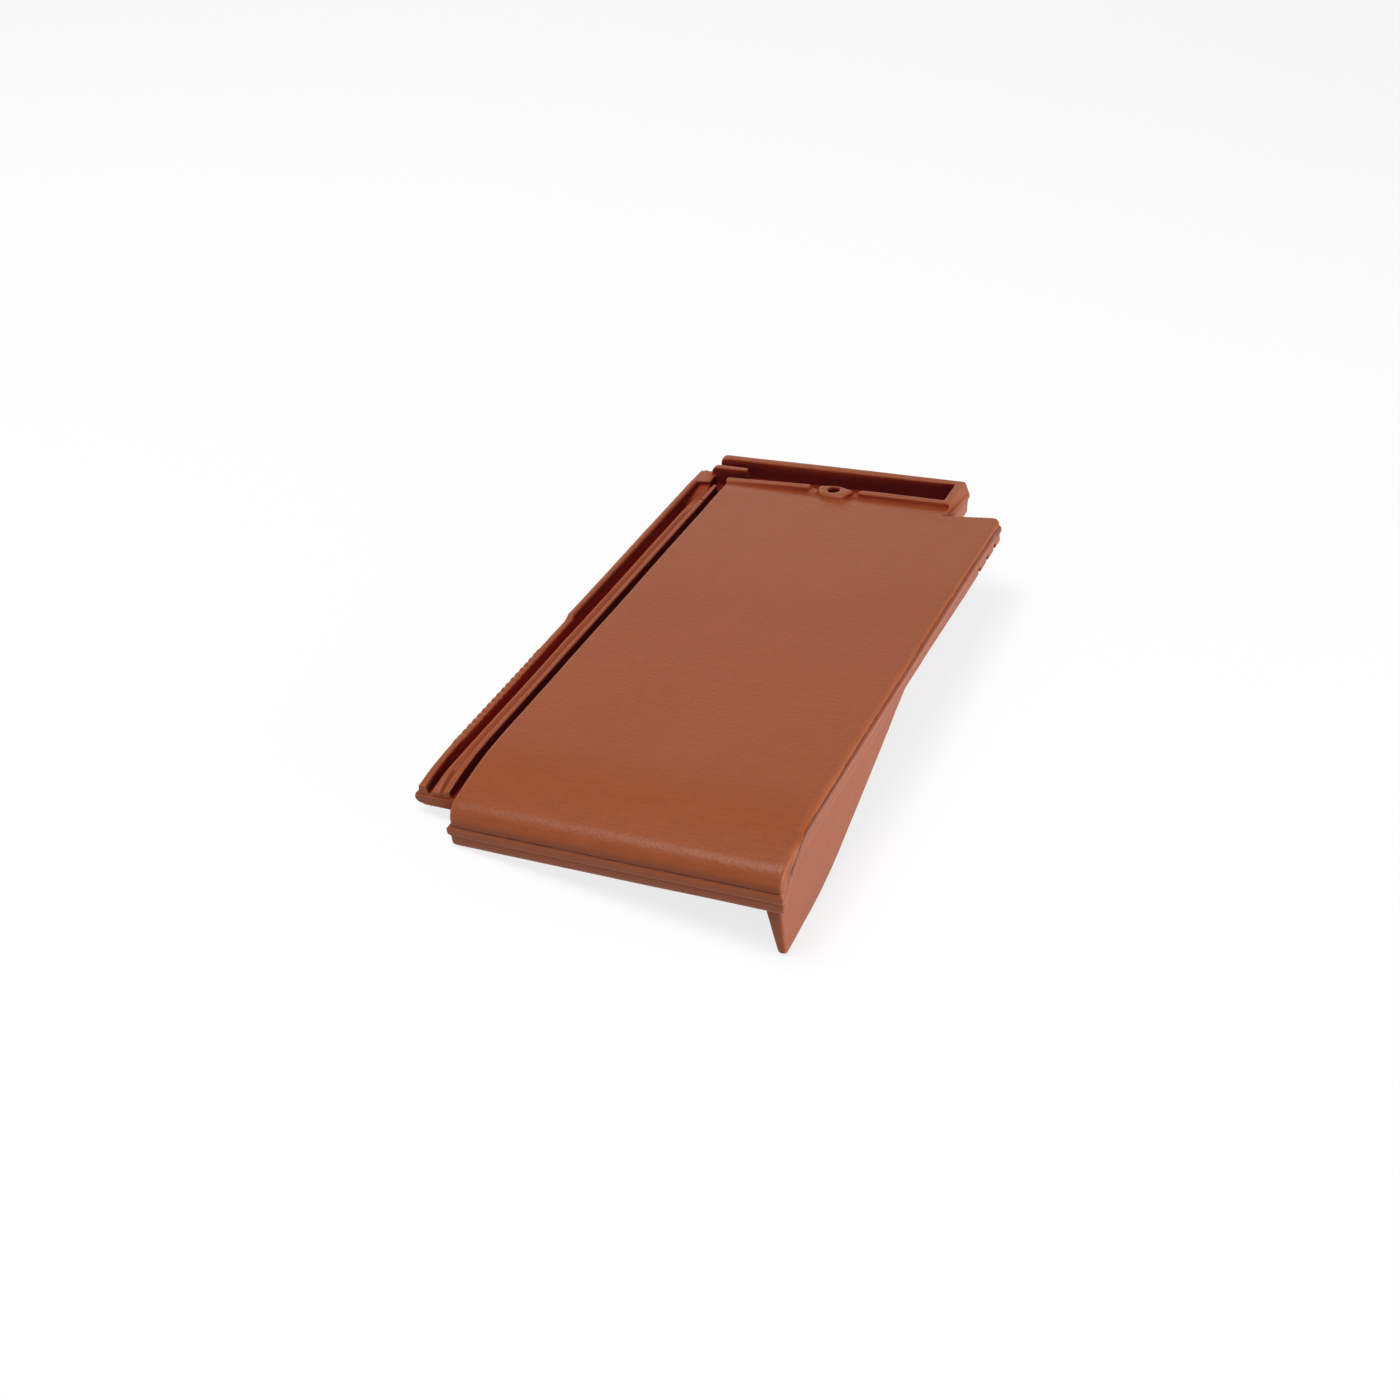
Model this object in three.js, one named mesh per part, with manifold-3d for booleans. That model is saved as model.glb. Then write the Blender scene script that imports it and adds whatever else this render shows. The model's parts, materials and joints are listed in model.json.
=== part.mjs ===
// Right-hand verge tile: a flat interlocking clay roof tile, pressed and fired in one piece.
//
// Units are millimetres and +Z is up. The tile is modelled in its own flat frame and then
// leaned over as it lies on a level floor.
// Tile frame: X runs across the roof from the slab's left edge, Y runs up the roof from the
// nose to the head, and Z = 0 is the flat top of the slab.

import * as THREE from 'three';
import { mergeVertices } from 'three/addons/utils/BufferGeometryUtils.js';
import Module from 'manifold-3d';

// ---- driving dimensions ----

// slab: the flat field that the weather sees
const slabWidth = 231;
const slabLength = 436;
const slabThickness = 14;
const edgeRound = 3;

// wing: the slab's rear corner beside the head lock
const wingWidth = 41;
const wingReach = 2;
const wingSkew = 7;
const wingCorner = 10;

// the right edge stands a little further out towards the nose
const edgeFlare = 3;

// nose: the rolled front edge
const sweepStart = 75;
const sweepRadius = 275;
const noseRadius = 15.5;
const noseDrop = 39.4;
const noseWall = 13;
const noseFrontRound = 5;
const noseEndRound = 5;
const noseEndLength = 8;

// flash: the bead left where the two halves of the press meet, with a crease above it
const flashProud = 0.5;
const flashEndProud = 3.2;
const flashHeight = 6.5;
const flashGroove = 1.25;
const edgeFlashProud = 1;
const edgeFlashHeight = 4.5;
const edgeCrease = 2.9;
const edgeCreaseRear = 5.5;
const edgeCreaseDive = 48;

// side lock: the channelled strip on the left that runs under the next tile
const lockWidth = 34;
const lockFront = 20;
const lockRearGap = 15;
const lockFloor = 16;
const lockUnderside = 25.5;
const lockRibTop = 5;
const lockInnerGap = 8.5;
const lockRibWidth = 4.4;
const lockValley = 4.6;
const lockValleyTop = 8.4;
const lockCrestTop = 6.6;
const lockCrestWidth = 2.6;
const outerRibWidth = 5.5;
const outerRibTop = 3;
const outerRibStep = 2.5;
const outerRibStepAt = 231;
const plateauLength = 22;
const plateauTop = 4.5;
const plateauCorner = 17;
const innerRibNotch = 26;

// grip teeth on the outer rib
const toothPitch = 6.6;
const toothDepth = 1.3;
const firstTooth = 70;
const toothCount = 17;

// head lock: the trough across the top edge
const headReach = 45.8;
const headLeft = 20;
const headRise = 3.5;
const headUnderside = 24;
const headFloor = 13;
const rimWidth = 7;
const headEndWall = 9;
const headEndCorner = 7;
const frontRibGap = 7.6;
const frontRibWidth = 6;
const frontRibFall = 2.2;
const frontGroove = 1.3;
const frontBand = 7;
const cornerRibGap = 18.4;
const cornerRibWidth = 5;
const cornerRibEnd = 11;

// nail boss in the front rib
const bossCentre = 92.3;
const bossLength = 30;
const bossWidth = 18;
const bossRise = 3.6;
const nailHole = 8.4;
const nailSink = 11;
const bossGap = 5;

// verge skirt: the cheek that hangs over the gable
const skirtInset = 1.2;
const skirtFront = 5;
const skirtDepth = 75.5;
const skirtTopThickness = 14;
const skirtToeThickness = 5.8;
const skirtToeRound = 4;
const skirtLength = 226;
const skirtHeel = 49;
const skirtHeelRise = 3;
const skirtKnee = 103;
const skirtKneeRise = 14;

// score notches under the wing, where a tile is snapped to length
const notchWidth = 4;
const notchDepth = 6.5;
const notchHeight = 4.8;
const notchPitch = 18;
const firstNotchGap = 17.8;
const notchCount = 3;

// underside
const edgeBand = 20;
const edgeBandDepth = 17.3;
const edgeBandTaper = 1.7;
const edgeBandBend = 60;
const stiffenerWidth = 12;
const stiffenerDepth = 4;
const footWidth = 10;
const footGap = 24;
const footDrop = 27;
const nibWidth = 32;
const nibThickness = 16;
const nibDrop = 16;
const nibGap = 8;
const nibShares = [0.25, 0.65];

// ---- where things meet ----

const quarter = Math.PI / 2;
const sweepSine = (sweepStart - noseRadius) / (sweepRadius - noseRadius);
const sweepAngle = Math.asin(sweepSine);
const noseCentre = -sweepRadius + (sweepRadius - noseRadius) * Math.cos(sweepAngle);
const seam = noseCentre - 1;
const headRear = slabLength + headReach;
const headRight = slabWidth - wingWidth;
const frontRibFront = slabLength + frontRibGap;
const frontRibRear = frontRibFront + frontRibWidth;
const cornerRibRear = headRear - cornerRibGap;
const cornerRibFront = cornerRibRear - cornerRibWidth;
const lockRear = headRear - lockRearGap;
const plateauFront = lockRear - plateauLength;
const skirtFace = slabWidth - skirtInset;
const nibFront = slabLength + nibGap;
const overhead = 30;

// ---- making solids ----

const wasm = await Module();
wasm.setup();

const alongX = new THREE.Matrix4().makeBasis(
  new THREE.Vector3(0, 1, 0), new THREE.Vector3(0, 0, 1), new THREE.Vector3(1, 0, 0));
const alongY = new THREE.Matrix4().makeBasis(
  new THREE.Vector3(1, 0, 0), new THREE.Vector3(0, 0, 1), new THREE.Vector3(0, -1, 0));
const alongZ = new THREE.Matrix4();

// Moves a geometry's right half outwards, most at the nose and not at all at the head.
function flare(geometry) {
  const position = geometry.attributes.position;
  const middle = slabWidth / 2;
  for (let i = 0; i < position.count; i += 1) {
    const side = Math.max(0, position.getX(i) / middle - 1);
    const share = side * (1 - position.getY(i) / slabLength);
    position.setX(i, position.getX(i) + edgeFlare * share);
  }
  return geometry;
}

function toSolid(geometry) {
  geometry.deleteAttribute('normal');
  geometry.deleteAttribute('uv');
  const merged = mergeVertices(geometry, 1e-4);
  return new wasm.Manifold(new wasm.Mesh({
    numProp: 3,
    vertProperties: new Float32Array(merged.attributes.position.array),
    triVerts: new Uint32Array(merged.index.array),
  }));
}

// A prism of one outline. Its rounded ends stay inside the outline and inside from..to.
function prism(outline, direction, from, to, round = 0, segments = 4) {
  return toSolid(prismGeometry(outline, direction, from, to, round, segments));
}

function flaredPrism(outline, direction, from, to, round = 0, segments = 4) {
  return toSolid(flare(prismGeometry(outline, direction, from, to, round, segments)));
}

function prismGeometry(outline, direction, from, to, round, segments) {
  const shape = outline instanceof THREE.Shape ? outline : soft(outline);
  const geometry = new THREE.ExtrudeGeometry(shape, {
    depth: to - from - 2 * round,
    curveSegments: segments,
    bevelEnabled: round > 0,
    bevelThickness: round,
    bevelSize: round,
    bevelOffset: -round,
    bevelSegments: 3,
  });
  geometry.translate(0, 0, round);
  geometry.applyMatrix4(direction);
  const axis = new THREE.Vector3().setFromMatrixColumn(direction, 2);
  axis.multiplyScalar(direction === alongY ? -to : from);
  geometry.translate(axis.x, axis.y, axis.z);
  return geometry;
}

// A closed outline through [u, v, softness]. A corner with softness is a curve that starts and
// ends that far from it.
function soft(points) {
  const shape = new THREE.Shape();
  const corners = points.map(([u, v]) => new THREE.Vector2(u, v));
  corners.forEach((corner, i) => {
    const softness = points[i][2] ?? 0;
    const previous = corners.at(i - 1);
    const next = corners[(i + 1) % corners.length];
    const start = corner.clone().add(previous.clone().sub(corner).setLength(softness));
    const end = corner.clone().add(next.clone().sub(corner).setLength(softness));
    if (i === 0) shape.moveTo(start.x, start.y);
    else shape.lineTo(start.x, start.y);
    if (softness > 0) shape.quadraticCurveTo(corner.x, corner.y, end.x, end.y);
  });
  return shape;
}

function block(x0, x1, y0, y1, z0, z1, round = 0) {
  return prism([[y0, z0], [y1, z0], [y1, z1], [y0, z1]], alongX, x0, x1, round);
}

function join(solids) {
  return solids.reduce((whole, solid) => whole.add(solid));
}

// ---- slab and nose ----

// Side outline of the slab down to the seam of the nose.
function slabOutline() {
  const shape = new THREE.Shape();
  const rear = frontRibRear;
  shape.moveTo(rear, 0);
  shape.lineTo(sweepStart, 0);
  shape.absarc(sweepStart, -sweepRadius, sweepRadius, quarter, quarter + sweepAngle, false);
  shape.absarc(noseRadius, noseCentre, noseRadius, quarter + sweepAngle, 2 * quarter, false);
  shape.lineTo(0, seam - 4);
  shape.lineTo(noseWall + 1, seam - 4);
  shape.lineTo(noseWall + 8, -slabThickness - 5);
  shape.lineTo(sweepStart - 10, -slabThickness);
  shape.lineTo(rear, -slabThickness);
  return shape;
}

// The crease above the flash runs along the right edge and dives round the end of the nose.
// The outline returns to the rear a given height below it.
function edgeOutline(height) {
  const rear = slabLength + wingReach + 1;
  const dive = [noseRadius + 5.5, -edgeCrease - 7.5];
  const tip = [noseRadius - 5, seam + 5];
  const bend = [dive[0] + 11, -edgeCrease - 0.5];
  const shape = new THREE.Shape();
  shape.moveTo(rear, -edgeCreaseRear);
  shape.quadraticCurveTo(rear - 40, -edgeCrease, rear - 110, -edgeCrease);
  shape.lineTo(edgeCreaseDive, -edgeCrease);
  shape.quadraticCurveTo(bend[0], bend[1], dive[0], dive[1]);
  shape.lineTo(tip[0], tip[1]);
  shape.lineTo(tip[0] + 1, tip[1] - height);
  shape.lineTo(dive[0] + 2, dive[1] - height);
  shape.quadraticCurveTo(bend[0] + 2, bend[1] - height, edgeCreaseDive, -edgeCrease - height);
  shape.lineTo(rear - 110, -edgeCrease - height);
  shape.quadraticCurveTo(rear - 40, -edgeCrease - height, rear, -edgeCreaseRear - height);
  return shape;
}

// Side outline of the thick right edge. It drops at the front to become the end of the nose.
function bandOutline() {
  const rear = slabLength + wingReach + 1;
  const shape = new THREE.Shape();
  shape.moveTo(rear, -slabThickness / 2);
  shape.lineTo(sweepStart, -slabThickness / 2);
  shape.lineTo(noseWall + 2, seam + 11);
  shape.lineTo(0.4, seam - 1);
  shape.lineTo(0.4, -noseDrop + 5);
  shape.quadraticCurveTo(0.4, -noseDrop + 1, noseEndLength - 3, -noseDrop + 1);
  shape.quadraticCurveTo(noseEndLength, -noseDrop + 1.5, noseEndLength + 2, -noseDrop + 6);
  shape.quadraticCurveTo(noseEndLength + 8, -edgeBandDepth - 2, edgeBandBend - 18, -edgeBandDepth);
  shape.lineTo(skirtLength - 10, -edgeBandDepth + edgeBandTaper);
  shape.lineTo(slabLength - 75, -edgeBandDepth);
  shape.lineTo(rear, -edgeBandDepth);
  return shape;
}

// Below the seam the nose has its own left end and a soft lower edge.
function makeLowerNose() {
  const wall = prism([
    [0.4, seam], [0.4, -noseDrop, noseFrontRound], [noseWall, -noseDrop, 1], [noseWall + 1, seam],
  ], alongX, -5, skirtFace);
  const leftEnd = prism([
    [0, seam], [0, -noseDrop, noseEndRound], [skirtFace + 5, -noseDrop], [skirtFace + 5, seam],
  ], alongY, -5, noseWall + 5);
  return wall.intersect(leftEnd);
}

function makeNoseFlash() {
  const left = -flashEndProud;
  const right = slabWidth + flashProud;
  const rear = noseWall - 0.5;
  const bead = flaredPrism([
    [left, -flashProud, 3], [right, -flashProud, 2], [right, rear], [left, rear],
  ], alongZ, seam - flashHeight, seam, 1.2);
  const crease = prism([
    [-5, seam + 1.1], [-5, seam - 0.6], [flashGroove, seam - 0.3], [flashGroove, seam + 0.5],
  ], alongX, -5, slabWidth + edgeFlare + 5);
  return bead.subtract(crease);
}

function makeSlab() {
  const wingRear = slabLength + wingReach;
  const right = slabWidth + edgeFlare + 5;
  const upper = flaredPrism(slabOutline(), alongX, 0, slabWidth, edgeRound, 14);
  const band = flaredPrism(bandOutline(), alongX, slabWidth - edgeBand, slabWidth, 1.6, 8);
  const edgeFlash = flaredPrism(edgeOutline(edgeFlashHeight), alongX, slabWidth - 4,
    slabWidth + edgeFlashProud, 0.8, 8);
  const crease = prism([
    [-5, seam + 1.1], [-5, seam - 0.6], [flashGroove, seam - 0.3], [flashGroove, seam + 0.5],
  ], alongX, -5, right);
  // the flash goes on round the wing's rear corner
  const cornerFlash = prism([
    [slabWidth - 20, wingRear - 14], [slabWidth + 0.9, wingRear - 14],
    [slabWidth + 0.9, wingRear + 0.2, 7], [slabWidth - 20, wingRear - 3],
  ], alongZ, -edgeCreaseRear - edgeFlashHeight, -edgeCreaseRear, 1.2);
  const plan = prism([
    [-10, -10], [right, -10], [right, slabLength - wingCorner * 2],
    [slabWidth + 0.2, slabLength - wingCorner * 2], [slabWidth + 0.2, wingRear, wingCorner],
    [headRight - 4, wingRear - wingSkew], [headRight - 4, frontRibRear], [-10, frontRibRear],
  ], alongZ, -noseDrop - 1, overhead, 0, 6);
  return join([upper.subtract(crease), makeLowerNose(), makeNoseFlash(), band, edgeFlash])
    .intersect(plan).add(cornerFlash);
}

// ---- side lock ----

function makeSideLock() {
  const ribA = -lockInnerGap;
  const ribB = ribA - lockRibWidth - lockValley;
  const outer = -lockWidth + 2;
  const inner = outer + outerRibWidth;
  const top = -lockRibTop;
  const floor = -lockFloor;
  const lip = -lockWidth - 3;
  const strip = prism([
    [14, -9], [0, -9], [-0.5, floor, 1.5],
    [ribA + 1, floor, 1], [ribA, top, 1], [ribA - lockRibWidth, top, 1.2],
    [ribA - lockRibWidth - 0.5, -lockValleyTop, 0.8], [ribB + 0.6, -lockValleyTop + 1, 0.8],
    [ribB - 0.4, -lockCrestTop, 0.8], [ribB - lockCrestWidth, -lockCrestTop - 0.2, 1.2],
    [ribB - lockCrestWidth - 3.2, floor + 1.5, 1.5], [ribB - lockCrestWidth - 4.6, floor],
    [inner + 1.2, floor, 1], [inner, -outerRibTop, 2], [outer, -outerRibTop, 2],
    [outer - 1.4, floor + 1.2, 0.8], [lip + 0.8, floor - 0.8, 1], [lip, floor - 5.5, 1.5],
    [lip + 2.5, -lockUnderside + 1.5, 1], [lip + 8, -lockUnderside], [14, -lockUnderside],
  ], alongY, lockFront, lockRear);

  const cuts = [
    makeOuterRibCut(outer - 4, inner + 3),
    prism(innerRibCut(), alongX, ribA - lockRibWidth - 0.3, -0.5, 0, 8),
    prism(crestCut(), alongX, inner + 0.6, ribA - lockRibWidth - 0.2, 0, 8),
    prism([
      [plateauFront - 50, -lockCrestTop], [plateauFront - 6, -lockValleyTop - 1.5],
      [plateauFront + 6, -lockValleyTop - 1.5], [plateauFront + 6, overhead],
      [plateauFront - 50, overhead],
    ], alongX, inner + 0.6, ribA - lockRibWidth - 0.2),
    makeTeeth(outer - 3, inner + 3),
    // behind the ribs the corner is a plateau on the left and the drain to the head lock
    block(-lockWidth - 5, ribB + 1, plateauFront + 0.5, lockRear + 1, -plateauTop, overhead),
    block(ribB + 1, 0, plateauFront + 3, lockRear + 1, floor, overhead),
    // a notch in the inner rib, and a lower thinner end behind it
    block(ribA - lockRibWidth - 0.3, ribA + 0.5, plateauFront - innerRibNotch,
      plateauFront - innerRibNotch + 1.6, top - 3, overhead),
    block(ribA - 0.7, ribA + 0.5, plateauFront - innerRibNotch, lockRear, floor + 2, overhead),
    prism([
      [ribA + 0.6, plateauFront - 6], [ribA - 0.7, plateauFront - 6],
      [ribA - 1, plateauFront + 2, 2.5], [ribA - 6, plateauFront + 2.5], [ribA - 6, plateauFront + 4],
      [ribA + 0.6, plateauFront + 4],
    ], alongZ, floor + 2, overhead),
    block(ribA - lockRibWidth - 0.3, ribA + 0.5, plateauFront - innerRibNotch, lockRear,
      top - 0.8, overhead),
  ];
  const corner = prism([
    [-lockWidth - 8, 0], [20, 0], [20, lockRear], [lip - 0.5, lockRear, plateauCorner],
  ], alongZ, -lockUnderside - 1, overhead, 0, 8);
  const plateau = prism([
    [outer - 0.8, plateauFront], [ribB + 1, plateauFront + 3], [ribB + 1, lockRear - 0.5],
    [outer - 0.8, lockRear - 0.5, plateauCorner - 3],
  ], alongZ, -lockUnderside + 1, -plateauTop, 1, 8);
  // the channel turns shallow towards the plateau
  const ramp = prism([
    [plateauFront - 40, floor - 1], [plateauFront - 40, floor + 0.5], [plateauFront + 2, -lockValleyTop],
    [plateauFront + 2, floor - 1],
  ], alongX, inner, ribB);
  return join([strip.subtract(join(cuts)).intersect(corner), plateau, ramp]);
}

// The outer rib is lower in front of its step and runs out in a curve at the front end.
function makeOuterRibCut(from, to) {
  const low = -outerRibTop - outerRibStep;
  const shape = new THREE.Shape();
  shape.moveTo(outerRibStepAt, overhead);
  shape.lineTo(lockFront - 1, overhead);
  shape.lineTo(lockFront - 1, low - 4.5);
  shape.quadraticCurveTo(lockFront + 14, low - 0.6, lockFront + 36, low);
  shape.lineTo(outerRibStepAt - 2, low);
  shape.lineTo(outerRibStepAt, -outerRibTop);
  return prism(shape, alongX, from, to, 0, 8);
}

// The inner rib follows the sweep of the slab and stays a fixed depth below its top.
function innerRibCut() {
  const shape = new THREE.Shape();
  shape.moveTo(sweepStart, -lockRibTop);
  shape.absarc(sweepStart, -sweepRadius - lockRibTop, sweepRadius, quarter, quarter + sweepAngle, false);
  shape.lineTo(0, overhead);
  shape.lineTo(sweepStart, overhead);
  return shape;
}

// The crest beside the channel and the valley behind it run out on the lock's front end.
function crestCut() {
  const shape = new THREE.Shape();
  shape.moveTo(lockFront + 26, -lockCrestTop);
  shape.quadraticCurveTo(lockFront + 10, -lockCrestTop - 0.4, lockFront - 1, -lockFloor + 2.5);
  shape.lineTo(lockFront - 1, overhead);
  shape.lineTo(lockFront + 26, overhead);
  return shape;
}

// Rounded teeth: each crest is a bow, and two bows meet in a sharp valley.
function makeTeeth(from, to) {
  const crest = -outerRibTop - outerRibStep;
  const valley = crest - toothDepth;
  const shape = new THREE.Shape();
  shape.moveTo(firstTooth, crest + 1);
  for (let i = 0; i < toothCount; i += 1) {
    const y = firstTooth + i * toothPitch;
    shape.lineTo(y, valley);
    shape.quadraticCurveTo(y + toothPitch / 2, crest + toothDepth, y + toothPitch, valley);
  }
  shape.lineTo(firstTooth + toothCount * toothPitch, crest + 1);
  return prism(shape, alongX, from, to, 0, 5);
}

// ---- head lock ----

function makeHead() {
  const left = -headLeft;
  const right = headRight + 0.3;
  const top = headRise;
  const under = -headUnderside;
  const below = -headFloor - 1;
  const rimFront = headRear - rimWidth;
  const base = prism([
    [0, slabLength - 6], [right, slabLength - 6], [right, headRear, 1.5], [left, headRear, 3],
    [left, plateauFront + 4], [0, plateauFront + 4],
  ], alongZ, under, -headFloor, 0);
  const deck = block(0.4, right, slabLength - 6, frontRibRear, under, -slabThickness + 9);
  const rim = prism([
    [rimFront, below], [rimFront, top, 1.8], [headRear, top, 2.2], [headRear, under, 1.5],
    [rimFront, under],
  ], alongX, left, right);
  const endWall = prism([
    [frontRibFront, -5], [frontRibFront + 0.2, top, 2.6], [headRear, top, 2.2],
    [headRear, under, 1.5], [frontRibFront, under],
  ], alongX, headRight - headEndWall, right, 0);
  // the end wall's toe slopes down on to the slab and the wing
  const toe = prism([
    [slabLength - 4, -3], [slabLength - 1.5, -0.6, 0.8], [frontRibFront + 2, top - 0.4, 1.5],
    [frontRibFront + 2, under], [slabLength - 4, under],
  ], alongX, headRight - 3.4, right, 0.6);
  const cornerRib = prism([
    [cornerRibFront, below], [cornerRibFront, top, 1.4], [cornerRibRear, top, 1.4],
    [cornerRibRear, below],
  ], alongX, left, cornerRibEnd + 5).intersect(prism([
    [left, below - 1], [left, top + 1], [cornerRibEnd, top + 1], [cornerRibEnd + 3, below - 1],
  ], alongY, cornerRibFront - 1, cornerRibRear + 1));
  // seen from the front, the head has a large round on the left and a sloping end on the right
  const face = prism([
    [left, under], [left, top, headEndCorner], [headRight - 2.4, top, 1.8],
    [headRight + 0.3, -6.5], [headRight - 0.8, -15], [headRight - 2, under],
  ], alongY, slabLength - 8, headRear + 1);
  const flash = prism([
    [slabLength + 1, -2.4], [headRear - 0.6, -6.4], [headRear - 0.6, -11], [slabLength + 1, -7],
  ], alongX, headRight - 5, headRight + flashProud + 0.7, 0.9);
  return join([base, deck, rim, endWall, toe, cornerRib]).intersect(face).add(flash);
}

// The front rib is in two halves. The right one starts in a point beside the boss.
function makeFrontRib() {
  const section = [
    [frontRibFront, -3], [frontRibFront + 0.2, headRise, 2.6], [frontRibRear, headRise, 2.4],
    [frontRibRear + 0.2, -headFloor - 1], [frontRibFront, -headFloor - 1],
  ];
  const half = bossLength / 2;
  const leftEnd = bossCentre - half - bossGap;
  const rightStart = bossCentre + half + bossGap - 1.5;
  // the left half falls away towards the side lock
  const left = prismGeometry(section, alongX, -1, leftEnd, 1.2, 4);
  const fall = new THREE.Matrix4().makeShear(0, frontRibFall / leftEnd, 0, 0, 0, 0);
  left.applyMatrix4(fall).translate(0, 0, -frontRibFall);
  const right = prism(section, alongX, rightStart, headRight - headEndWall + 3, 1);
  const point = prism([
    [rightStart - 1, frontRibFront + 2], [rightStart + 7, frontRibRear + 1],
    [rightStart - 1, frontRibRear + 1],
  ], alongZ, 0, overhead);
  return toSolid(left).add(right.subtract(point));
}

function makeBoss() {
  const half = bossLength / 2;
  const rear = frontRibRear + 2;
  const front = rear - bossWidth;
  return prism([
    [-half + 1, rear - 5.5, 1.6], [-half + 1.6, rear - 2.2, 1.6], [0.5, rear, 3],
    [half - 8, rear - 1.4, 3], [half + 1.7, rear - 5, 2], [half - 2.5, rear - 13.5, 2],
    [half - 3.2, front, 1.6], [2.8, front, 2], [-half + 4.9, front + 2.5, 2],
  ].map(([x, y, softness]) => [bossCentre + x, y, softness]), alongZ, -headFloor - 1, bossRise, 1, 3);
}

function makeNailHole() {
  const through = new THREE.CylinderGeometry(nailHole / 2, nailHole / 2, 60, 20);
  const sink = new THREE.CylinderGeometry(nailSink / 2, nailHole / 2, 2, 20);
  sink.translate(0, bossRise - 0.8, 0);
  const place = new THREE.Matrix4().makeRotationX(quarter);
  place.setPosition(bossCentre, frontRibRear - 5.2, 0);
  through.applyMatrix4(place);
  sink.applyMatrix4(place);
  return toSolid(through).add(toSolid(sink));
}

// A shallow hollow in the slab along the foot of the front rib.
function makeFrontHollow() {
  return prism([
    [frontRibFront - frontBand * 2, 0.03], [frontRibFront - frontBand, -frontGroove * 0.4],
    [frontRibFront - 2, -frontGroove], [frontRibFront, -frontGroove], [frontRibFront, 2],
    [frontRibFront - frontBand * 2, 2],
  ], alongX, 2, headRight - 4);
}

// ---- verge skirt ----

function makeSkirt() {
  const top = -edgeBandDepth;
  const shape = new THREE.Shape();
  shape.moveTo(skirtLength + 9, top - 0.3);
  shape.lineTo(skirtLength - 12, top + 7);
  shape.lineTo(noseWall + 17, top + 4);
  shape.lineTo(skirtFront + 3, seam - 5);
  shape.lineTo(skirtFront, seam - 8);
  shape.lineTo(skirtFront, -skirtDepth + skirtToeRound);
  shape.absarc(skirtFront + skirtToeRound, -skirtDepth + skirtToeRound, skirtToeRound,
    2 * quarter, 3 * quarter, false);
  shape.lineTo(skirtHeel, -skirtDepth + skirtHeelRise);
  shape.quadraticCurveTo(skirtHeel + 28, -skirtDepth + skirtHeelRise + 2.5,
    skirtKnee, -skirtDepth + skirtKneeRise);
  const inner = skirtFace - skirtTopThickness;
  const cheek = prism(shape, alongX, inner - 3, skirtFace, 2, 8);
  const toeInner = skirtFace - skirtToeThickness;
  const reach = skirtDepth - skirtToeRound;
  const section = prism([
    [inner, top + 10], [inner, top, 4], [toeInner, -reach, 2], [toeInner + 1.8, -skirtDepth, 0.6],
    [skirtFace + 2, -skirtDepth], [skirtFace + 2, top + 10],
  ], alongY, -5, skirtLength + 5);
  return cheek.intersect(section);
}

function makeNotches() {
  const notches = [];
  const first = slabLength - firstNotchGap;
  for (let i = 0; i < notchCount; i += 1) {
    const y = first - i * notchPitch;
    notches.push(prism([
      [y - notchWidth / 2 - 0.6, -edgeBandDepth - 6], [y + notchWidth / 2 + 0.6, -edgeBandDepth - 6],
      [y + notchWidth / 2, -edgeBandDepth + notchHeight, 1.5],
      [y - notchWidth / 2, -edgeBandDepth + notchHeight, 1.5],
    ], alongX, slabWidth - notchDepth, slabWidth + 5));
  }
  return join(notches);
}

// ---- underside ----

function makeUnderside() {
  const pieces = [];
  const nibTop = -headUnderside + 2;
  const nibBottom = -headUnderside - nibDrop;
  for (const share of nibShares) {
    const centre = slabWidth * share;
    pieces.push(prism([
      [nibFront, nibTop], [nibFront, nibBottom], [nibFront + nibThickness - 4, nibBottom],
      [nibFront + nibThickness, nibTop],
    ], alongX, centre - nibWidth / 2, centre + nibWidth / 2, 1));
  }
  // second foot across the tile behind the nose
  const footFront = noseWall + footGap;
  pieces.push(prism([
    [footFront, -footDrop, 2], [footFront + footWidth - 2, -footDrop, 2],
    [footFront + footWidth, -slabThickness + 2], [footFront - 2, -slabThickness + 2],
  ], alongX, 8, slabWidth - edgeBand + 3, 1));
  // two long stiffeners from the foot to the head
  for (const share of [1 / 3, 2 / 3]) {
    const x = slabWidth * share;
    pieces.push(block(x - stiffenerWidth / 2, x + stiffenerWidth / 2, footFront,
      slabLength, -slabThickness - stiffenerDepth, -slabThickness + 2, 1));
  }
  return join(pieces);
}

// ---- the tile ----

function makeTile() {
  const plate = join([makeSlab(), makeSideLock(), makeHead(), makeSkirt(), makeUnderside()]);
  return plate.subtract(makeFrontHollow()).add(makeFrontRib()).add(makeBoss())
    .subtract(makeNailHole().add(makeNotches()));
}

function toGeometry(solid) {
  const mesh = solid.getMesh();
  const geometry = new THREE.BufferGeometry();
  geometry.setAttribute('position', new THREE.BufferAttribute(new Float32Array(mesh.vertProperties), 3));
  geometry.setIndex(new THREE.BufferAttribute(new Uint32Array(mesh.triVerts), 1));
  geometry.computeVertexNormals();
  return geometry;
}

const firedClay = new THREE.MeshStandardMaterial({ color: 0xa85c43, roughness: 0.75, metalness: 0 });
const tile = new THREE.Mesh(toGeometry(makeTile()), firedClay);
tile.name = 'verge_tile';

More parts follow.
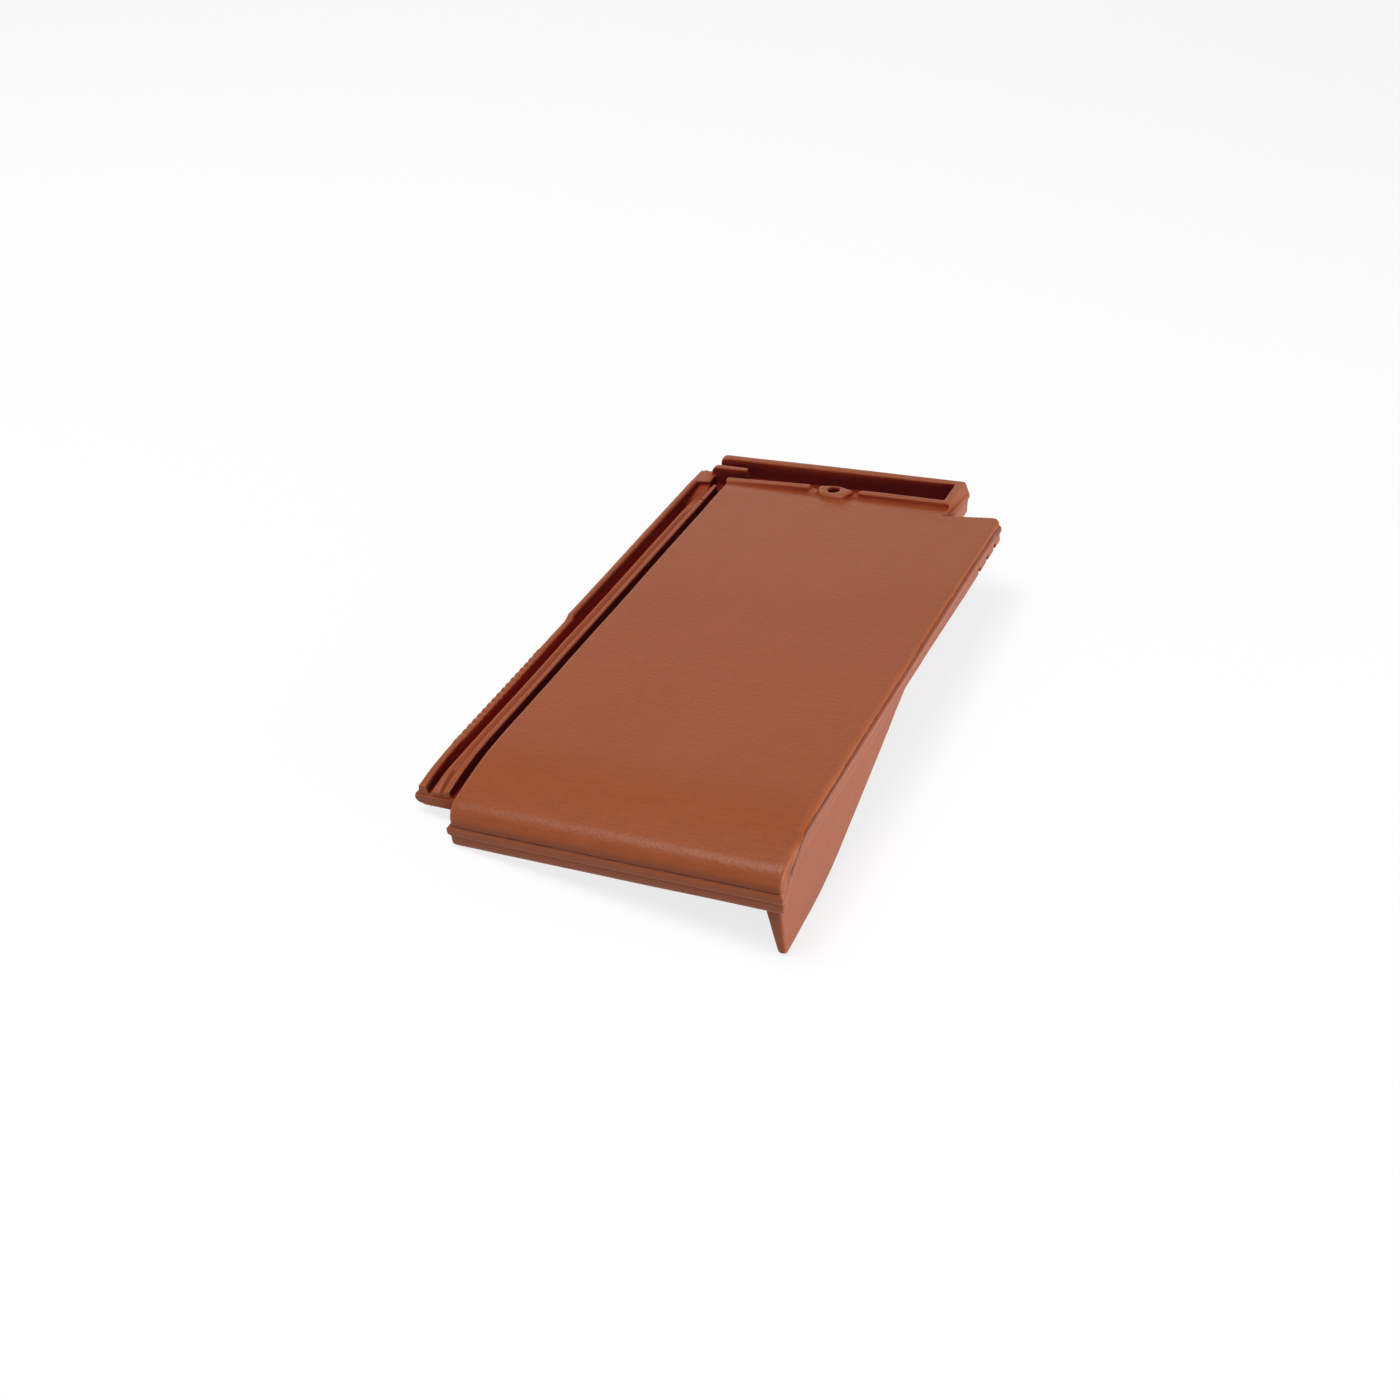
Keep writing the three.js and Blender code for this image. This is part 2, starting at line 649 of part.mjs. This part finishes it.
// Lying free, the tile rests on the skirt's toe, the nose's left foot and the left nib.
const toe = new THREE.Vector3(skirtFace - skirtToeThickness + 2.2, skirtFront + skirtToeRound, -skirtDepth);
const noseFoot = new THREE.Vector3(noseEndRound * 0.56, noseWall - 0.2, -noseDrop + 0.3);
const nibFoot = new THREE.Vector3(nibShares[0] * slabWidth - nibWidth / 2 + 1,
  nibFront + nibThickness - 4, -headUnderside - nibDrop);
const up = new THREE.Vector3().crossVectors(
  toe.clone().sub(noseFoot), nibFoot.clone().sub(noseFoot)).normalize();
const lean = new THREE.Group();
lean.quaternion.setFromUnitVectors(up, new THREE.Vector3(0, 0, 1));
lean.add(tile);

// The origin is on the floor under the middle of the lying tile.
const part = new THREE.Group();
part.add(lean);
part.updateMatrixWorld(true);
const bounds = new THREE.Box3().setFromObject(part, true);
lean.position.set(-(bounds.min.x + bounds.max.x) / 2, -(bounds.min.y + bounds.max.y) / 2, -bounds.min.z);

export default part;
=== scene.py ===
"""Dresses the right-hand verge tile, a clay roof tile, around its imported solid."""
import json
import math

import bpy
import numpy as np
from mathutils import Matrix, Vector
from mathutils.bvhtree import BVHTree

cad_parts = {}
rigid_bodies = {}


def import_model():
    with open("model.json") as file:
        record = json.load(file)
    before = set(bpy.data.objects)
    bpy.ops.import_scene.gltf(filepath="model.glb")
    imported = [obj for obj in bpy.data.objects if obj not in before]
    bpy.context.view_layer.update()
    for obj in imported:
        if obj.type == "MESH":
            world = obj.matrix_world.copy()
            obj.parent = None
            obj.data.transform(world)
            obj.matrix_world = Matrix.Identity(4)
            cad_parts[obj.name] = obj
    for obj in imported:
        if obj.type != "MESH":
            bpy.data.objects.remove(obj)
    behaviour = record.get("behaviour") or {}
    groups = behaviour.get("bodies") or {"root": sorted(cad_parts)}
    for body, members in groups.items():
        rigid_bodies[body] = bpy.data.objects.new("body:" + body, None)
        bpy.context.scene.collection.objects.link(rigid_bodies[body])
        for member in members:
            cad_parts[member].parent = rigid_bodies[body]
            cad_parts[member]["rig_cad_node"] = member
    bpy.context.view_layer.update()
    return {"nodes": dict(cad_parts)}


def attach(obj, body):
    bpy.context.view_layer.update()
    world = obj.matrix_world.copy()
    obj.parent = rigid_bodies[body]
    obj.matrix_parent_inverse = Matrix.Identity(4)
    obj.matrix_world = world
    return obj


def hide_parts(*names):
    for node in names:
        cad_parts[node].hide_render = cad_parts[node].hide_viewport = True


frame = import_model()

# ---- the pressed tile ----
# The whole tile is one lump of clay, squeezed between the two halves of a press and fired.
# Plaster moulds leave no sharp edge on it, a surface that is never quite flat, and a rough
# bead of squeezed-out clay along the line where they met.

MM = 0.001

# The slab's own flat frame: X across the roof, Y up the roof, Z out of the slab's flat top.
# The tile lies tilted on the floor, so in that frame the floor's upward way leans over.
leaning_up = Vector((0.160597, -0.012472, 0.986941))
lie = leaning_up.rotation_difference(Vector((0, 0, 1))).to_matrix()
lie_shift = Vector((-102.797, -240.555, 38.299)) * MM
flat_front = Vector((-0.001008, -0.999922, 0.012472))

cad_tile = frame["nodes"]["verge_tile"]
bpy.ops.object.select_all(action="DESELECT")
cad_tile.select_set(True)
bpy.context.view_layer.objects.active = cad_tile
bpy.ops.object.duplicate()
tile = bpy.context.active_object
tile.name = "pressed_tile"
tile.data.name = "pressed_tile"
del tile["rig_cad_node"]
bpy.ops.object.mode_set(mode="EDIT")
bpy.ops.mesh.select_all(action="SELECT")
bpy.ops.mesh.remove_doubles(threshold=0.001 * MM)
bpy.ops.object.mode_set(mode="OBJECT")
bpy.ops.mesh.customdata_custom_splitnormals_clear()

# a fine skin all over, as even as the wet clay
skin = tile.modifiers.new("skin", "REMESH")
skin.mode = "VOXEL"
skin.voxel_size = 0.6 * MM
skin.use_smooth_shade = True
bpy.ops.object.modifier_apply(modifier="skin")


def read_points():
    points = np.empty(len(tile.data.vertices) * 3, "f")
    tile.data.vertices.foreach_get("co", points)
    return points.reshape(-1, 3)


def near(value, low, high, blur):
    """One between low and high, falling to nothing over the blur outside them."""
    return np.clip(1 - np.maximum(low - value, value - high) / blur, 0, 1)


def group_by(name, weights):
    """Makes a vertex group out of a weight for each point."""
    STEPS = 20
    group = tile.vertex_groups.new(name=name)
    steps = np.round(np.clip(weights, 0, 1) * STEPS).astype(int)
    for step in range(1, STEPS + 1):
        group.add([int(i) for i in np.nonzero(steps == step)[0]], step / STEPS, "REPLACE")


def soften(passes, group=""):
    rub = tile.modifiers.new("rub", "SMOOTH")
    rub.factor = 0.5
    rub.iterations = passes
    rub.vertex_group = group
    bpy.ops.object.modifier_apply(modifier="rub")


def dent(name, size, depth, group=""):
    """Lets the skin sink by up to this depth, in soft patches of about this size."""
    patches = bpy.data.textures.new(name, "CLOUDS")
    patches.noise_scale = size
    patches.noise_depth = 0
    sink = tile.modifiers.new(name, "DISPLACE")
    sink.texture = patches
    sink.texture_coords = "LOCAL"
    sink.strength = depth
    sink.mid_level = 0.9
    sink.vertex_group = group
    bpy.ops.object.modifier_apply(modifier=name)


# where each point is on the slab, and where the tile's own places are, in millimetres
x, y, z = ((read_points() / MM - np.array(lie_shift) / MM) @ np.array(lie)).T
SEAM_Z = -23
EDGE_X = 231
BOSS_X, BOSS_Y = 92.3, 444.4
from_nail = np.hypot(x - BOSS_X, y - BOSS_Y)

# the seam and the crease stay as sharp as the press left them, and so does the nail hole
nose_seam = near(y, -5, 2.5, 0.5) * near(z, SEAM_Z - 3, SEAM_Z + 3, 0.5)
edge_crease = near(x, 228, 240, 0.5) * near(z, -14, 5, 0.5) * near(y, 34, 445, 6)
nail_hole = near(from_nail, 0, 6, 0.5)
rubbed = 1 - np.maximum(np.maximum(nose_seam, edge_crease), nail_hole)

# the outer rib is crowned all along its inner edge, and over its full width in front of and
# just behind the grip teeth
rib_crest = near(x, -29.5, -24, 2)
rib_plain = near(x, -40, -24, 1) * np.maximum(near(y, 0, 64, 2), near(y, 186, 225, 2))
crowned = near(z, -12, 5, 3) * near(y, 22, 440, 2) * np.maximum(rib_crest, rib_plain)

# the rear rim, the slab's right edge with the head lock's toe, the verge under that edge with
# the round end of the nose, the nail boss, and the left end of the nose's bead
rim = near(y, 470, 477, 2) * near(z, -6, 5, 3) * near(x, -22, 172, 1)
edge_round = near(x, 228.5, 240, 1.5) * near(z, -1.6, 5, 0.8) * near(y, 20, 436, 10)
toe = near(x, 167, 187, 2) * near(y, 425, 443, 3) * near(z, -4, 2, 1)
verge_side = near(y, 10, 335, 10) * near(z, -27, -6.5, 2)
nose_end = near(y, -5, 22, 8) * near(z, -24, -4, 3)
verge = near(x, 227, 240, 1) * np.maximum(verge_side, nose_end)
boss = near(from_nail, 6.5, 21, 1) * near(z, -0.6, 10, 1)
bead_end = near(x, -6, 3, 8) * near(y, -5, 14, 6) * near(z, -27, -17, 4)

for name, weights in (
        ("rubbed", rubbed), ("crowned", crowned), ("rim", rim),
        ("edge", np.maximum(edge_round, toe)), ("verge", verge),
        ("handled", boss), ("bead_end", bead_end)):
    group_by(name, weights)

# every edge that the mould left is rubbed round, most of all the outer rib, the rim and the boss
soften(2)
for group, passes in (("rubbed", 4), ("crowned", 60), ("rim", 60),
                      ("edge", 24), ("verge", 24), ("handled", 60)):
    soften(passes, group)
dent("bead_end", size=5 * MM, depth=1.1 * MM, group="bead_end")

# The valley between the two inner ribs runs on down to the nose, cut a little aslant. A finger
# has run along the verge. The lower half of the lock's end stands a little proud of the upper.
VALLEY_X, VALLEY_WIDTH, VALLEY_DEPTH = -14.7, 1.6, 1.5
FINGER_X, FINGER_WIDTH, FINGER_DEPTH = 228, 0.9, 0.1
LOCK_STEP_Z, LOCK_STEP = -17.6, 0.7
valley = np.exp(-((x - VALLEY_X) / VALLEY_WIDTH) ** 2) * near(y, 15, 34, 8) * near(z, -13.5, 0, 1)
finger = np.exp(-((x - FINGER_X) / FINGER_WIDTH) ** 2) * near(y, 30, 432, 8) * near(z, -1, 5, 1)
lock_end = near(x, -50, -1.5, 1) * near(y, 10, 21, 1) * near(z, -40, LOCK_STEP_Z, 0.5)
sunk = VALLEY_DEPTH * valley + FINGER_DEPTH * finger
points = read_points()
points -= (sunk * MM)[:, None] * np.array(leaning_up)
points += (LOCK_STEP * lock_end * MM)[:, None] * np.array(flat_front)
tile.data.vertices.foreach_set("co", points.astype("f").ravel())

# how far each place stands proud of its surroundings, or lies below them: the surroundings are
# the same skin rubbed much further, which is then put back. The verge's round counts as a
# little prouder than it is, so that it takes a stronger painted highlight.
HIGHLIGHT_PROUD = 0.2
seen = read_points()
facing = np.empty(seen.size, "f")
tile.data.vertex_normals.foreach_get("vector", facing)
soften(24)
proud = ((seen - read_points()) * facing.reshape(-1, 3)).sum(axis=1) / MM
tile.data.vertices.foreach_set("co", seen.ravel())
proud *= 1 - np.maximum(nose_seam, edge_crease)
proud += HIGHLIGHT_PROUD * near(x, 229.4, 240, 1) * near(z, -2, 5, 1) * near(y, 20, 436, 8)

# Where the two halves of the press met: how far above that line each place is, and how surely
# it is on the face that the line crosses. On the nose the line runs along the top of the bead.
# On the verge it climbs from there to just under the slab's top, through these places given as
# how far up the slab and how high, and it climbs with the round of the edge too.
BEAD_HALF = 1.1
EDGE_CLIMB = 1.74
VERGE_LINE = ((11, -23), (20, -19), (27, -15.8), (33, -12.5), (40, -9), (52, -8.2), (65, -8),
              (90, -7.3), (115, -6.2), (140, -5.2), (190, -4.5), (215, -4.2), (240, -3.4),
              (265, -2.9), (315, -2.4), (365, -2.2), (390, -2.3), (415, -2.8), (440, -4))
verge_line = np.interp(y, *zip(*VERGE_LINE)) + EDGE_CLIMB * (x - EDGE_X)
for name, value in (
        ("relief", proud),
        ("above_seam", z - SEAM_Z - BEAD_HALF),
        ("on_seam", near(x, 2, 232, 1) * near(y, -5, 4, 1.5) * near(z, -28, -14, 2)),
        ("above_verge", z - verge_line),
        ("on_verge", near(x, 229, 240, 1) * near(z, -26, 5, 1) * near(y, 16, 434, 5)),
        ("in_channel", near(x, -30, -21, 1.5) * near(z, -17, -8.5, 2) * near(y, 70, 390, 45))):
    tile.data.attributes.new(name, "FLOAT", "POINT").data.foreach_set("value", value.astype("f"))

dent("kiln_warp", size=75 * MM, depth=0.45 * MM)
dent("hand_marks", size=14 * MM, depth=0.08 * MM)
tile.vertex_groups.clear()

TRIANGLES = 194000
thin = tile.modifiers.new("thin", "DECIMATE")
thin.decimate_type = "COLLAPSE"
thin.ratio = TRIANGLES / (2 * len(tile.data.polygons))  # the skin is all squares
bpy.ops.object.modifier_apply(modifier="thin")
tile.data.shade_smooth()

# how much of the sky each place sees, from rays sent out over its half sphere
RAYS = 16
RAY_START, RAY_REACH = 0.4 * MM, 60 * MM
shell = BVHTree.FromObject(tile, bpy.context.evaluated_depsgraph_get())
turn = math.pi * (3 - math.sqrt(5))
rays = []
for i in range(RAYS):
    rise = math.sqrt((i + 0.5) / RAYS)
    flat = math.sqrt(1 - rise * rise)
    rays.append(Vector((flat * math.cos(i * turn), flat * math.sin(i * turn), rise)))
up = Vector((0, 0, 1))
seen_sky = np.empty(len(tile.data.vertices), "f")
for vertex in tile.data.vertices:
    start = vertex.co + vertex.normal * RAY_START
    tilt = up.rotation_difference(vertex.normal)
    free = sum(shell.ray_cast(start, tilt @ ray, RAY_REACH)[0] is None for ray in rays)
    seen_sky[vertex.index] = free / RAYS

# each place's share is blended twice with its neighbours', so that it has no grain
ends = np.empty(len(tile.data.edges) * 2, "i")
tile.data.edges.foreach_get("vertices", ends)
one, other = ends.reshape(-1, 2).T
count = np.bincount(ends, minlength=len(seen_sky))
for _ in range(2):
    total = np.bincount(one, seen_sky[other], len(seen_sky))
    total += np.bincount(other, seen_sky[one], len(seen_sky))
    seen_sky = (0.5 * seen_sky + 0.5 * total / count).astype("f")
tile.data.attributes.new("seen_sky", "FLOAT", "POINT").data.foreach_set("value", seen_sky)


def linear(code):
    """An sRGB hex colour as the linear colour that a shader takes."""
    parts = [int(code[i:i + 2], 16) / 255 for i in (1, 3, 5)]
    return tuple(p / 12.92 if p <= 0.04045 else ((p + 0.055) / 1.055) ** 2.4 for p in parts) + (1,)


def add(tree, kind, settings, links):
    """Adds a node with its settings, and links outputs to its inputs."""
    made = tree.nodes.new(kind)
    for name, value in settings.items():
        if isinstance(name, str) and hasattr(made, name):
            setattr(made, name, value)
        else:
            made.inputs[name].default_value = value
    for name, output in links.items():
        tree.links.new(output, made.inputs[name])
    return made


# Terracotta: an iron-rich clay, pressed in plaster moulds and fired red without a glaze. It
# is matt with a faint sheen and a little uneven in its red. Its edges are rubbed paler, partly
# as a painted highlight, and a darker, redder painted shade lies down in the channels.
clay = bpy.data.materials.new("pressed_terracotta")
clay.use_nodes = True
tree = clay.node_tree
place = add(tree, "ShaderNodeTexCoord", {}, {}).outputs["Object"]
slab_place = add(tree, "ShaderNodeMapping", {"Rotation": lie.inverted().to_euler()},
                 {"Vector": place}).outputs[0]
mark = {name: add(tree, "ShaderNodeAttribute", {"attribute_name": name}, {}).outputs["Fac"]
        for name in ("relief", "seen_sky", "in_channel", "above_seam", "on_seam",
                     "above_verge", "on_verge")}

# the kiln's flame leaves patches about as broad as a hand
FLAME_PATCH = 110 * MM
flush = add(tree, "ShaderNodeTexNoise", {"Scale": 1 / FLAME_PATCH, "Detail": 2},
            {"Vector": slab_place}).outputs["Fac"]
body = add(tree, "ShaderNodeMix",
           {"data_type": "RGBA", 6: linear("#944820"), 7: linear("#9B4F28")},
           {0: flush}).outputs[2]

# Rubbed edges are paler, partly as a painted highlight, and hollows take a browner painted
# shade, by how far they stand out in millimetres. Down in the lock a redder painted shade
# darkens the clay the less sky it sees, and is reddest in the outer channel.
amount = {}
for name, source, low, high, most in (
        ("rubbed_and_highlit", "relief", 0.04, 0.4, 0.35),
        ("hollow", "relief", -0.03, -0.16, 0.85),
        ("painted_shade", "seen_sky", 0.95, 0.6, 1),
        ("painted_deep_shade", "seen_sky", 0.65, 0.35, 1)):
    amount[name] = add(tree, "ShaderNodeMapRange",
                       {"From Min": low, "From Max": high, "To Max": most},
                       {0: mark[source]}).outputs[0]
amount["slurry"] = add(tree, "ShaderNodeMath", {"operation": "MULTIPLY"},
                       {0: amount["painted_shade"], 1: mark["in_channel"]}).outputs[0]

# A dark line of painted shade lies along the crease where the halves of the press met, and a
# little painted shade darkens the clay above the nose's seam and below the verge's line. The
# line's core is a distance from it, and the darker tone with its near end are heights above it,
# in millimetres: each goes from nothing at the first to its most at the second, and the third
# number is that most.
for part, core, tone, tone_end in (
        ("seam", (0.9, 0.1, 1), (7, 1, 0.45), (-0.2, 0.6, 1)),
        ("verge", (1.1, 0.2, 1), (0.2, -0.6, 0.6), (-5.4, -4.2, 1))):
    above, on = mark["above_" + part], mark["on_" + part]
    off_line = add(tree, "ShaderNodeMath", {"operation": "ABSOLUTE"}, {0: above}).outputs[0]
    eased = [add(tree, "ShaderNodeMapRange",
                 {"interpolation_type": "SMOOTHSTEP",
                  "From Min": low, "From Max": high, "To Max": most},
                 {0: source}).outputs[0]
             for source, (low, high, most) in (
                 (off_line, core), (above, tone), (above, tone_end))]
    toned = add(tree, "ShaderNodeMath", {"operation": "MULTIPLY"},
                {0: eased[1], 1: eased[2]}).outputs[0]
    for name, strength in ((part + "_line", eased[0]), (part + "_tone", toned)):
        amount[name] = add(tree, "ShaderNodeMath", {"operation": "MULTIPLY"},
                           {0: strength, 1: on}).outputs[0]
line, painted_band_shade = [
    add(tree, "ShaderNodeMath", {"operation": "MAXIMUM"},
        {0: amount["seam" + kind], 1: amount["verge" + kind]}).outputs[0]
    for kind in ("_line", "_tone")]

# the painted line is stronger in some places than in others, by patches as broad as a thumb
THUMB = 14 * MM
line_strength = add(tree, "ShaderNodeTexNoise", {"Scale": 1 / THUMB, "Detail": 2},
           {"Vector": slab_place}).outputs["Fac"]
line_strength = add(tree, "ShaderNodeMapRange",
           {"From Min": 0.35, "From Max": 0.65, "To Min": 0.4, "To Max": 0.85},
           {0: line_strength}).outputs[0]
painted_line_shade = add(tree, "ShaderNodeMath", {"operation": "MULTIPLY"}, {0: line, 1: line_strength}).outputs[0]

for colour, share in (
        # rubbed edges, paler partly as a painted highlight
        ("#B5714E", amount["rubbed_and_highlit"]),
        # painted shade in hollows and creases
        ("#7C340E", amount["hollow"]),
        # painted shade, by how little sky a place sees
        ("#86270B", amount["painted_shade"]),
        # the deepest painted shade
        ("#5E0403", amount["painted_deep_shade"]),
        # painted red shade in the outer channel
        ("#94180A", amount["slurry"]),
        # painted shade above the nose's seam and below the verge's line
        ("#6E2A0C", painted_band_shade),
        # the dark painted shade line in the crease
        ("#4A1608", painted_line_shade)):
    body = add(tree, "ShaderNodeMix", {"data_type": "RGBA", 7: linear(colour)},
               {0: share, 6: body}).outputs[2]

# The skin is pebbled like leather, in dimples of about 2.4 mm, by the sandy clay's shrinking
# away from the plaster. Over that lie grains of sand of 1 mm, and the slurry that the press
# wiped across the slab, in streaks 1.5 mm wide and some 50 mm long.
PEBBLE, PEBBLE_DEPTH = 2.4 * MM, 0.27 * MM
GRAIN, GRAIN_DEPTH = 1.1 * MM, 0.05 * MM
STREAK = (50 * MM, 1.5 * MM, 12 * MM)
LINE_DEPTH = 0.25 * MM
pebbles = add(tree, "ShaderNodeTexNoise", {"Scale": 1 / PEBBLE, "Detail": 1},
              {"Vector": slab_place}).outputs["Fac"]
wiped = add(tree, "ShaderNodeMapping", {"Scale": [1 / size for size in STREAK]},
            {"Vector": slab_place}).outputs[0]
streaks = add(tree, "ShaderNodeTexNoise", {"Scale": 1, "Detail": 2},
              {"Vector": wiped}).outputs["Fac"]
sand = add(tree, "ShaderNodeTexNoise", {"Scale": 1 / GRAIN, "Detail": 3},
           {"Vector": slab_place}).outputs["Fac"]
rough_skin = add(tree, "ShaderNodeMath", {"operation": "ADD"},
                 {0: streaks, 1: sand}).outputs[0]

# the grain shows in the clay's lightness, and so do faint blotches as broad as a fingertip
FINGERTIP = 9 * MM
shade = add(tree, "ShaderNodeMapRange",
            {"From Min": 0.6, "From Max": 1.4, "To Min": 0.92, "To Max": 1.08},
            {0: rough_skin}).outputs[0]
blotches = add(tree, "ShaderNodeTexNoise", {"Scale": 1 / FINGERTIP, "Detail": 1},
               {"Vector": slab_place}).outputs["Fac"]
blotches = add(tree, "ShaderNodeMapRange",
               {"From Min": 0.3, "From Max": 0.7, "To Min": 0.97, "To Max": 1.03},
               {0: blotches}).outputs[0]
lightness = add(tree, "ShaderNodeMath", {"operation": "MULTIPLY"},
                {0: shade, 1: blotches}).outputs[0]
body = add(tree, "ShaderNodeHueSaturation", {}, {"Color": body, "Value": lightness}).outputs[0]

# the open skin has its faint sheen, and the hollows, lines and channels, which carry painted shade,
# hold dust and have none
sheen = add(tree, "ShaderNodeMapRange",
            {"From Min": 0.6, "From Max": 1.4, "To Min": 0.37, "To Max": 0.51},
            {0: rough_skin}).outputs[0]
dust = amount["hollow"]
for dusty in (painted_line_shade, amount["painted_shade"]):
    dust = add(tree, "ShaderNodeMath", {"operation": "MAXIMUM"}, {0: dust, 1: dusty}).outputs[0]
sheen = add(tree, "ShaderNodeMix", {3: 1.0}, {0: dust, 2: sheen}).outputs[0]

# the skirt's outer face was pressed harder, so its pebbles are shallower
normal = add(tree, "ShaderNodeTexCoord", {}, {}).outputs["Normal"]
side_on = add(tree, "ShaderNodeSeparateXYZ", {}, {0: normal}).outputs["X"]
pressed = add(tree, "ShaderNodeMapRange",
              {"From Min": 0.5, "From Max": 0.9, "To Min": 1, "To Max": 0.35},
              {0: side_on}).outputs[0]
dimples = add(tree, "ShaderNodeBump", {"Distance": PEBBLE_DEPTH},
              {"Height": pebbles, "Strength": pressed}).outputs[0]
grain = add(tree, "ShaderNodeBump", {"Strength": 1, "Distance": GRAIN_DEPTH},
            {"Height": rough_skin, "Normal": dimples}).outputs[0]
groove = add(tree, "ShaderNodeBump", {"invert": True, "Strength": 1, "Distance": LINE_DEPTH},
             {"Height": line, "Normal": grain}).outputs[0]

shader = tree.nodes["Principled BSDF"]
tree.links.new(body, shader.inputs["Base Color"])
tree.links.new(sheen, shader.inputs["Roughness"])
tree.links.new(groove, shader.inputs["Normal"])
shader.inputs["Specular IOR Level"].default_value = 0.33
tile.data.materials.clear()
tile.data.materials.append(clay)

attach(tile, "root")
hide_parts("verge_tile")

# ---- floor ----
# A wide sheet of matt white paper. To the eye it is evenly white, and it keeps the tile's
# soft shadow.
bpy.ops.object.select_all(action="DESELECT")
bpy.ops.mesh.primitive_plane_add(size=12)
floor = bpy.context.active_object
floor.name = "floor"
paper = bpy.data.materials.new("matt_white_paper")
paper.use_nodes = True
tree = paper.node_tree
tree.nodes.clear()
WHITENESS = 0.8
path = add(tree, "ShaderNodeLightPath", {}, {}).outputs
seen = path["Is Camera Ray"]
for ray in ("Is Glossy Ray", "Is Transmission Ray"):
    seen = add(tree, "ShaderNodeMath", {"operation": "MAXIMUM"}, {0: seen, 1: path[ray]}).outputs[0]
sheet = add(tree, "ShaderNodeBsdfDiffuse", {"Color": linear("#D2D2D2")}, {}).outputs[0]
lit = add(tree, "ShaderNodeBsdfDiffuse", {"Color": (1, 1, 1, 1)}, {}).outputs[0]
glow = add(tree, "ShaderNodeEmission", {"Color": (1, 1, 1, 1), "Strength": 1}, {}).outputs[0]
white = add(tree, "ShaderNodeMixShader", {0: WHITENESS}, {1: lit, 2: glow}).outputs[0]
shown = add(tree, "ShaderNodeMixShader", {}, {0: seen, 1: sheet, 2: white}).outputs[0]
add(tree, "ShaderNodeOutputMaterial", {}, {"Surface": shown})
floor.data.materials.append(paper)

# ---- backdrop ----
# The same paper, hung all round from a hoop, so that the tile has a white room behind it from
# every side.
RADIUS, HEIGHT = 5.8, 3
bpy.ops.object.select_all(action="DESELECT")
bpy.ops.mesh.primitive_cylinder_add(vertices=96, radius=RADIUS, depth=HEIGHT,
                                    end_fill_type="NOTHING", location=(0, 0, HEIGHT / 2))
backdrop = bpy.context.active_object
backdrop.name = "backdrop"
bpy.ops.object.shade_smooth()
backdrop.data.materials.append(paper)

# ---- light ----
# A large softbox above, a little to the left and in front, a low one on the right for the skirt,
# and a weak one low behind for the edges, in a dim white room.
world = bpy.data.worlds.new("white_room")
bpy.context.scene.world = world
world.use_nodes = True
world.node_tree.nodes["Background"].inputs["Color"].default_value = (1, 1, 1, 1)
world.node_tree.nodes["Background"].inputs["Strength"].default_value = 0.16

for name, stand, aim, width, height, watts in (
        ("overhead", (-0.65, -0.6, 2.55), (0, 0, 0), 1.4, 1.6, 62),
        ("right", (1.9, 0.0, 0.28), (0.1, 0, 0.03), 1.4, 0.45, 30),
        ("rear", (-0.6, 2.6, 0.9), (0, 0, 0.2), 2.6, 1.2, 6)):
    lamp = bpy.data.lights.new(name, "AREA")
    lamp.shape = "RECTANGLE"
    lamp.size = width
    lamp.size_y = height
    lamp.energy = watts
    softbox = bpy.data.objects.new(name, lamp)
    bpy.context.scene.collection.objects.link(softbox)
    softbox.location = stand
    softbox.rotation_euler = (Vector(aim) - Vector(stand)).to_track_quat("-Z", "Y").to_euler()

# ---- camera ----
# It stands about a metre in front of the tile, to its right and above it, and looks down on it
# from 38 degrees, with a slight lean.
camera = bpy.data.objects.new("camera", bpy.data.cameras.new("camera"))
bpy.context.scene.collection.objects.link(camera)
camera.location = (0.42333, -1.0614, 0.87586)
camera.rotation_euler = [math.radians(a) for a in (52.0728, -2.056, 24.7213)]
camera.data.sensor_width = 36
camera.data.lens = 51.451
bpy.context.scene.camera = camera

bpy.context.scene.view_settings.view_transform = "Standard"
